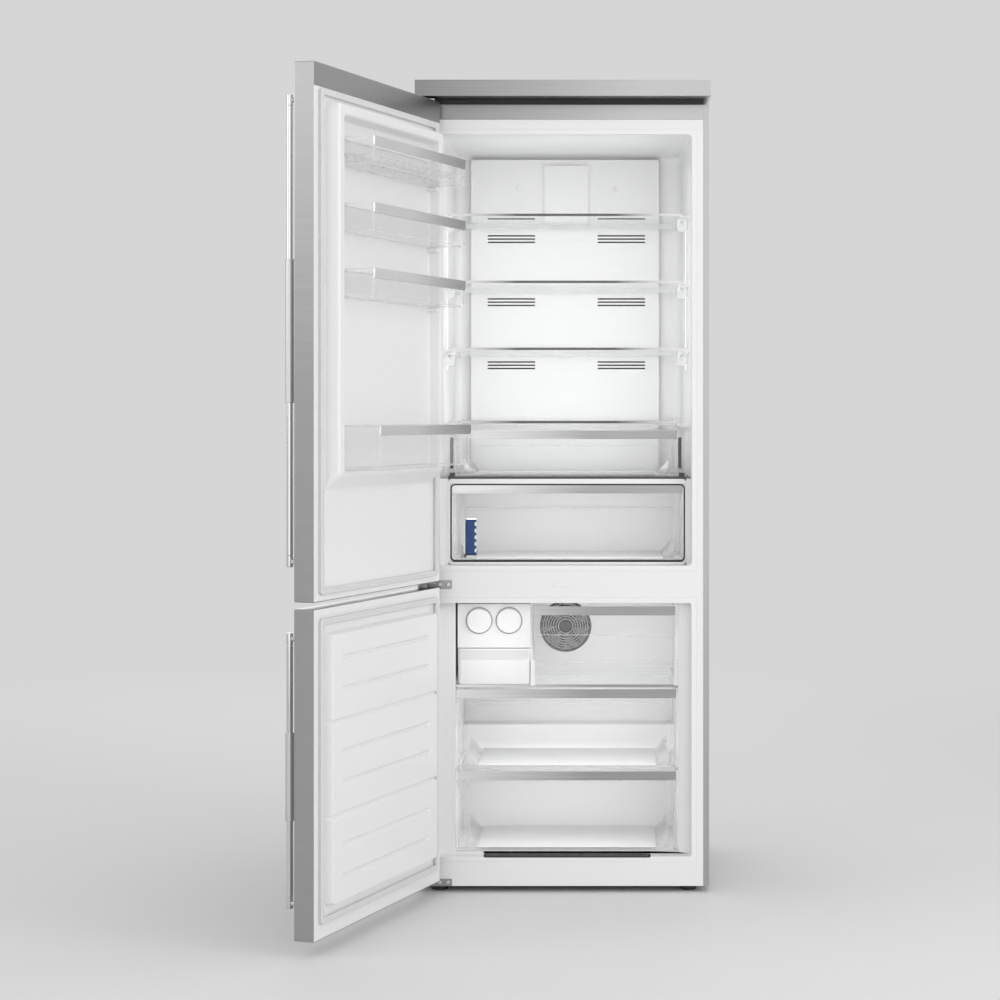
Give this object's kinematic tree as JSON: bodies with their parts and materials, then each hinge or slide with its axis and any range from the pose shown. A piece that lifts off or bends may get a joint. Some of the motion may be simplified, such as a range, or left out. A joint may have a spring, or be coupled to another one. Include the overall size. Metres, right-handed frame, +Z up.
{
  "type": "bottom freezer refrigerator",
  "caption": "Tall free-standing refrigerator with a fresh-food compartment over a freezer, both doors hinged on the left and open, with shelves, drawers, door bins and bar handles.",
  "frame": {"origin": "bottom centre of the whole object's box, doors open as in the picture, on the floor", "axes": "+Z up, +Y from the open front towards the back, +X to the right seen from the front"},
  "size_m": [0.9352, 1.3194, 1.938],
  "materials": {
    "brushed_steel": "satin",
    "handle_metal": "polished",
    "grip_metal": "satin",
    "galvanised_sheet": "matte",
    "hinge_steel": "satin",
    "white_liner": "satin",
    "white_moulding": "satin",
    "pale_moulding": "satin",
    "clear_plastic": "gloss",
    "shelf_glass": "gloss",
    "dark_glass": "gloss",
    "led_lens": "satin",
    "gasket_rubber": "matte",
    "insulating_foam": "matte",
    "black_moulding": "satin",
    "fin_aluminium": "satin",
    "black_enamel": "satin"
  },
  "bodies": {
    "cabinet": {"outer_wrap": "brushed_steel", "rear_panel": "galvanised_sheet", "machine_cover": "galvanised_sheet", "power_inlet": "black_moulding", "base_plate": "galvanised_sheet", "front_frame": "white_moulding", "header_strip": "brushed_steel", "top_panel": "brushed_steel", "fridge_liner": "white_liner", "freezer_liner": "white_liner", "insulation_core": "insulating_foam", "duct_panel": "white_moulding", "crisper_cover": "shelf_glass", "crisper_housing": "white_moulding", "crisper_divider": "dark_glass", "led_strip_left": "led_lens", "led_strip_right": "led_lens", "ice_maker_housing": "white_moulding", "freezer_shelf": "shelf_glass", "evaporator_cover": "white_moulding", "fan_motor": "black_moulding", "evaporator": "fin_aluminium", "compressor": "black_enamel", "drip_pan": "black_moulding", "condenser": "black_enamel", "top_hinge": "hinge_steel", "middle_hinge": "hinge_steel", "bottom_hinge": "hinge_steel"},
    "upper_door": {"upper_door_skin": "brushed_steel", "upper_door_core": "insulating_foam", "upper_door_liner": "white_liner", "upper_door_gasket": "gasket_rubber", "upper_door_handle": "handle_metal", "upper_door_grip": "grip_metal"},
    "lower_door": {"lower_door_skin": "brushed_steel", "lower_door_core": "insulating_foam", "lower_door_liner": "white_liner", "lower_door_gasket": "gasket_rubber", "lower_door_handle": "handle_metal", "lower_door_grip": "grip_metal"},
    "door_bin_top": {"door_bin_top": "clear_plastic"},
    "door_bin_second": {"door_bin_second": "clear_plastic"},
    "door_bin_third": {"door_bin_third": "clear_plastic"},
    "door_bin_bottle": {"door_bin_bottle": "clear_plastic"},
    "shelf_top": {"shelf_top": "shelf_glass"},
    "shelf_middle": {"shelf_middle": "shelf_glass"},
    "shelf_low": {"shelf_low": "shelf_glass"},
    "upper_crisper": {"upper_crisper": "clear_plastic"},
    "lower_crisper": {"lower_crisper": "clear_plastic"},
    "freezer_flap": {"freezer_flap": "clear_plastic"},
    "middle_drawer": {"middle_drawer": "clear_plastic"},
    "bottom_drawer": {"bottom_drawer": "clear_plastic"},
    "ice_twister_left": {"ice_twister_left": "pale_moulding"},
    "ice_twister_right": {"ice_twister_right": "pale_moulding"},
    "ice_bin": {"ice_bin": "white_moulding"},
    "fan_impeller": {"fan_impeller": "black_moulding"},
    "front_foot_left": {"front_foot_left": "black_moulding"},
    "front_foot_right": {"front_foot_right": "black_moulding"},
    "rear_roller_left": {"rear_roller_left": "black_moulding"},
    "rear_roller_right": {"rear_roller_right": "black_moulding"}
  },
  "joints": [
    {"name": "upper_door_hinge", "type": "hinge", "parent": "cabinet", "child": "upper_door", "pos_m": [-0.21285, -0.00771, 1.3], "axis": [0, 0, -1], "range_deg": [-108.4, 11.6]},
    {"name": "lower_door_hinge", "type": "hinge", "parent": "cabinet", "child": "lower_door", "pos_m": [-0.21285, -0.00771, 0.38], "axis": [0, 0, -1], "range_deg": [-108.4, 11.6]},
    {"name": "door_bin_top_lift", "type": "slide", "parent": "upper_door", "child": "door_bin_top", "axis": [0, 0, 1], "range_m": [0, 0.025]},
    {"name": "door_bin_second_lift", "type": "slide", "parent": "upper_door", "child": "door_bin_second", "axis": [0, 0, 1], "range_m": [0, 0.025]},
    {"name": "door_bin_third_lift", "type": "slide", "parent": "upper_door", "child": "door_bin_third", "axis": [0, 0, 1], "range_m": [0, 0.025]},
    {"name": "door_bin_bottle_lift", "type": "slide", "parent": "upper_door", "child": "door_bin_bottle", "axis": [0, 0, 1], "range_m": [0, 0.025]},
    {"name": "shelf_top_slide", "type": "slide", "parent": "cabinet", "child": "shelf_top", "axis": [0, -1, 0], "range_m": [0, 0.19]},
    {"name": "shelf_middle_slide", "type": "slide", "parent": "cabinet", "child": "shelf_middle", "axis": [0, -1, 0], "range_m": [0, 0.19]},
    {"name": "shelf_low_slide", "type": "slide", "parent": "cabinet", "child": "shelf_low", "axis": [0, -1, 0], "range_m": [0, 0.19]},
    {"name": "upper_crisper_slide", "type": "slide", "parent": "cabinet", "child": "upper_crisper", "axis": [0, -1, 0], "range_m": [0, 0.22]},
    {"name": "lower_crisper_slide", "type": "slide", "parent": "cabinet", "child": "lower_crisper", "axis": [0, -1, 0], "range_m": [0, 0.33]},
    {"name": "middle_drawer_slide", "type": "slide", "parent": "cabinet", "child": "middle_drawer", "axis": [0, -1, 0], "range_m": [0, 0.29]},
    {"name": "bottom_drawer_slide", "type": "slide", "parent": "cabinet", "child": "bottom_drawer", "axis": [0, -1, 0], "range_m": [0, 0.29]},
    {"name": "ice_bin_slide", "type": "slide", "parent": "cabinet", "child": "ice_bin", "axis": [0, -1, 0], "range_m": [0, 0.15]},
    {"name": "freezer_flap_hinge", "type": "hinge", "parent": "cabinet", "child": "freezer_flap", "pos_m": [0.21475, 0.07769, 0.4991], "axis": [1, 0, 0], "range_deg": [0, 90]},
    {"name": "ice_twister_left_twist", "type": "hinge", "parent": "cabinet", "child": "ice_twister_left", "pos_m": [-0.08785, 0.07269, 0.6476], "axis": [0, 1, 0], "range_deg": [0, 150], "stiffness_Nm_per_rad": 0.05},
    {"name": "ice_twister_right_twist", "type": "hinge", "parent": "cabinet", "child": "ice_twister_right", "pos_m": [-0.01585, 0.07269, 0.6476], "axis": [0, 1, 0], "range_deg": [0, 150], "stiffness_Nm_per_rad": 0.05},
    {"name": "fan_impeller_spin", "type": "hinge", "parent": "cabinet", "child": "fan_impeller", "pos_m": [0.11445, 0.50069, 0.5975], "axis": [0, 1, 0], "continuous": true},
    {"name": "front_foot_left_turn", "type": "hinge", "parent": "cabinet", "child": "front_foot_left", "pos_m": [-0.18385, 0.07769, 0.008], "axis": [0, 0, 1], "continuous": true},
    {"name": "front_foot_right_turn", "type": "hinge", "parent": "cabinet", "child": "front_foot_right", "pos_m": [0.41615, 0.07769, 0.008], "axis": [0, 0, 1], "continuous": true},
    {"name": "rear_roller_left_roll", "type": "hinge", "parent": "cabinet", "child": "rear_roller_left", "pos_m": [-0.17385, 0.59269, 0.012], "axis": [1, 0, 0], "continuous": true},
    {"name": "rear_roller_right_roll", "type": "hinge", "parent": "cabinet", "child": "rear_roller_right", "pos_m": [0.40615, 0.59269, 0.012], "axis": [1, 0, 0], "continuous": true}
  ]
}
